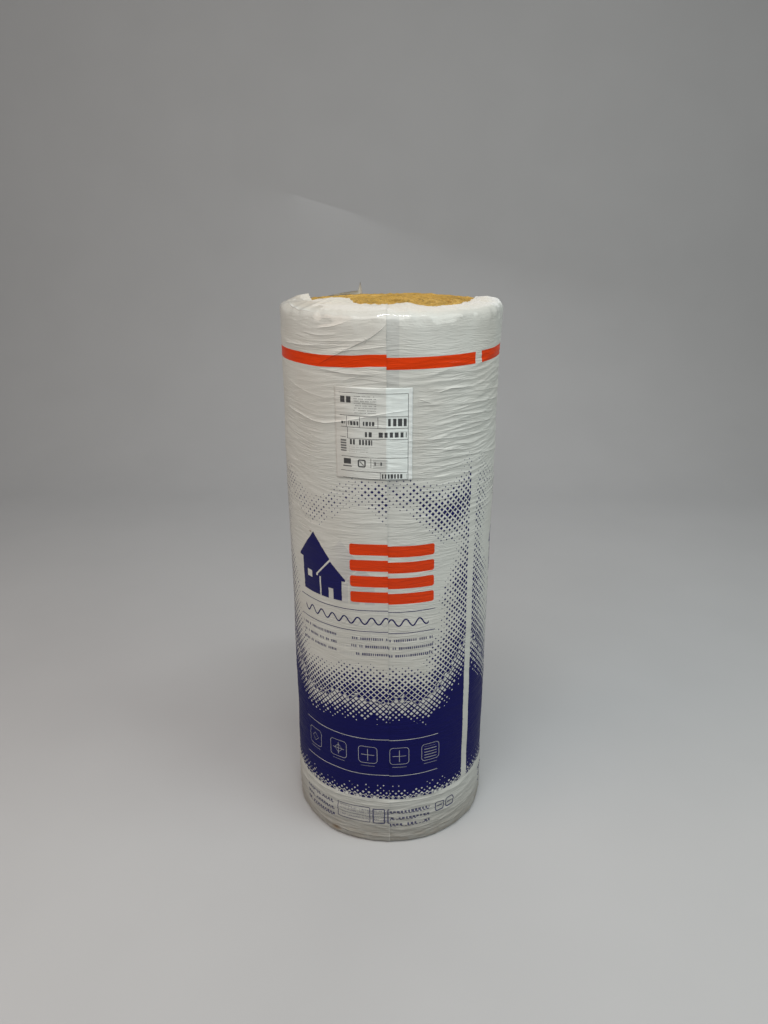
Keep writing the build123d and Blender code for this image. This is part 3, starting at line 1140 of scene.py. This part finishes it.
def label_material():
    """Coated paper with thin ruled boxes and blocks of meaningless dashes."""
    material, tree, shader = new_material("label_paper", 0.42)
    x, z = place_of(tree, "label_place")
    shapes = [line_at(z - level, 0.0010) * x.between(first, last) for level, first, last in LABEL_RULES]
    shapes += [line_at(x - place, 0.0010) * z.between(first, last) for place, first, last in LABEL_UPRIGHTS]
    shapes += [area(x, z, *block) for block in LABEL_BLOCKS]
    for cell, areas in LABEL_DASHES:
        shapes.append(dashes(x, z, cell, 0.0205) * most_of([area(x, z, *place) for place in areas]))
    fine = dashes(x, z, 0.0024, 0.0045) * lines_of(z, 0.0, 0.0045, 0.0017)
    upper = area(x, z, 0.039, 0.082, 0.1290, 0.1640)
    lower = area(x, z, 0.028, 0.066, 0.0520, 0.0670)
    shapes.append(fine * upper.most(lower * 0.5) * 0.75)
    shapes.append(area(x, z, 0.011, 0.023, 0.0545, 0.0785) * (z * (1 / 0.0052)).part().above(0.35) * 0.85)
    square = box_distance(join(x, z), (0.0530, 0.0320), (0.0080, 0.0080), 0.004)
    shapes.append(line_at(square + 0.0014, 0.0028))
    shapes.append(line_at(x + z - 0.0850, 0.0030) * square.below(-0.0035) * 0.80)
    shapes.append(area(x, z, 0.075, 0.103, 0.0225, 0.0415) * 0.22)
    paper = mixed(grain(x * 30, z * 30, detail=3.0), colour(210, 219, 218), colour(218, 227, 225))
    veiled = (1 - x.over(LABEL_SEAM, 0.001)) * (0.85 - x.over(0.030, 0.025) * 0.35)
    right_edge = x.above(0.1435)
    paper = layered(paper, (
        (veiled, (190, 189, 183)),
        (right_edge * 0.5, (216, 219, 219)),
        (most_of(shapes) * 0.95, (30, 33, 38)),
    ))
    feed(shader, {"Base Color": paper, "Coat Weight": 0.2, "Coat Roughness": 0.2})
    wrinkle = film_wrinkle_bump(tree, x + along_at(LABEL_LOW[0]), z + LABEL_LOW[2])
    add_bump(shader, wrinkle * 0.8 + grain(x * 900, z * 900, detail=1.0) * 0.00001)
    return material


def label():
    """The paper label, which follows the film's folds under it and steps down over the seam."""
    low, high = LABEL_LOW[2], LABEL_HIGH[2]
    left, right = along_at(LABEL_LOW[0]), along_at(LABEL_HIGH[0])
    columns, rows = LABEL_GRID
    along, level = np.meshgrid(np.linspace(left, right, columns), np.linspace(low, high, rows))
    seam = seam_along(LABEL_SHARE)
    step = LAYER_STEP * (1 - smooth(along, seam, seam + 0.009))
    to_corner = np.hypot(np.minimum(along - left, right - along), np.minimum(level - low, high - level))
    curl = 0.0004 * (1 - smooth(to_corner, 0, 0.012))
    back_face = RADIUS + film_relief(along, level) + step + LABEL_RISE + curl
    sides = [on_roll(along / RADIUS, back_face + rise, level) for rise in (LABEL_THICKNESS, 0)]
    points = np.concatenate([side.reshape(-1, 3) for side in sides])
    count = rows * columns
    front = grid_faces(rows, columns)
    back = front[:, ::-1] + count
    border = np.concatenate([
        np.arange(columns),
        np.arange(1, rows) * columns + columns - 1,
        (rows - 1) * columns + np.arange(columns - 2, -1, -1),
        np.arange(rows - 2, 0, -1) * columns,
    ])
    after = np.roll(border, -1)
    rim = np.stack([border + count, after + count, after, border], axis=1)
    place = np.stack([along - left, level - low], axis=-1).reshape(-1, 2)
    creases = nearest_crease(along, level).reshape(-1, 2)
    maps = {
        "OFBake": np.concatenate([place / 0.19 * 0.96 + 0.02, place / 0.19 * 0.001 + 0.985]),
        "label_place": np.concatenate([place, place]),
        "film_creases": np.concatenate([creases, creases]),
    }
    sheet = make_mesh("label_paper", points, np.concatenate([front, back, rim]), maps, label_material())
    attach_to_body(sheet, "root")
    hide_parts("label")


def camera():
    """The photograph's viewpoint."""
    pitch, yaw, roll = (math.radians(angle) for angle in (CAMERA_PITCH, CAMERA_YAW, CAMERA_ROLL))
    ahead = Vector((math.sin(yaw) * math.cos(pitch), math.cos(yaw) * math.cos(pitch), -math.sin(pitch)))
    right = ahead.cross(Vector((0, 0, 1))).normalized()
    above = right.cross(ahead)
    tilted_right = math.cos(roll) * right + math.sin(roll) * above
    tilted_above = math.cos(roll) * above - math.sin(roll) * right
    data = bpy.data.cameras.new("camera")
    data.lens = CAMERA_LENS
    data.sensor_width = CAMERA_SENSOR
    thing = new_object("camera", data)
    turn = Matrix((tilted_right, tilted_above, -ahead)).transposed()
    thing.matrix_world = Matrix.Translation((0, -CAMERA_BACK, CAMERA_UP)) @ turn.to_4x4()
    bpy.context.scene.camera = thing


def lamp(name, place, aim, size, power, tint=(1, 1, 1)):
    """A soft lamp, this wide and high, that points at a place."""
    data = bpy.data.lights.new(name, "AREA")
    data.shape = "RECTANGLE"
    data.size, data.size_y = size
    data.energy = power
    data.color = tint
    thing = new_object(name, data)
    thing.location = place
    thing.rotation_euler = (Vector(aim) - Vector(place)).to_track_quat("-Z", "Y").to_euler()


def lighting():
    """Plain soft studio light: front, sides and back, a narrow lamp for the rim's gleam, a pale world."""
    lamp("lamp_front", (-0.25, -1.9, 3.0), (0, 0, 0.8), (2.2, 1.8), 38, (1.0, 0.99, 0.97))
    lamp("lamp_above", (0.16, -0.60, 2.9), (0, -0.1, 1.2), (1.00, 0.10), 14)
    lamp("lamp_left", (-2.6, -1.4, 2.6), (0, 0, 0.9), (2.4, 2.4), 38, (1.0, 0.77, 0.62))
    lamp("lamp_right", (2.6, -1.2, 2.6), (0, 0, 0.9), (2.4, 2.4), 46, (0.94, 1.0, 0.95))
    lamp("lamp_back", (0.5, 2.6, 2.4), (0, 0, 0.7), (2.4, 2.4), 13)
    world = bpy.data.worlds.new("studio")
    world.use_nodes = True
    feed(world.node_tree.nodes["Background"], {"Color": (1, 1, 1, 1), "Strength": 0.16})
    bpy.context.scene.world = world


def backdrop():
    """A pale floor that curves up behind the roll."""
    front, back, side, bend, tall = -6.0, 2.2, 6.0, 1.2, 5.0
    angles = np.linspace(0, math.pi / 2, 24)[1:]
    line = [(front, 0.0), (back, 0.0)]
    line += [(back + bend * math.sin(angle), bend - bend * math.cos(angle)) for angle in angles]
    line += [(back + bend, tall)]
    points = np.array([[(x, y, z) for x in (-side, side)] for y, z in line])
    material, tree, shader = new_material("floor", 0.85)
    mottle = noise(new_node(tree, "NewGeometry").outputs["Position"], scale=3.0)
    feed(shader, {"Base Color": mixed(mottle, colour(182, 184, 186), colour(188, 190, 192))})
    make_mesh("floor", points, grid_faces(len(line), 2), {}, material)


camera()
backdrop()
lighting()
wool()
film()
label()
bpy.context.scene.view_settings.view_transform = "Standard"
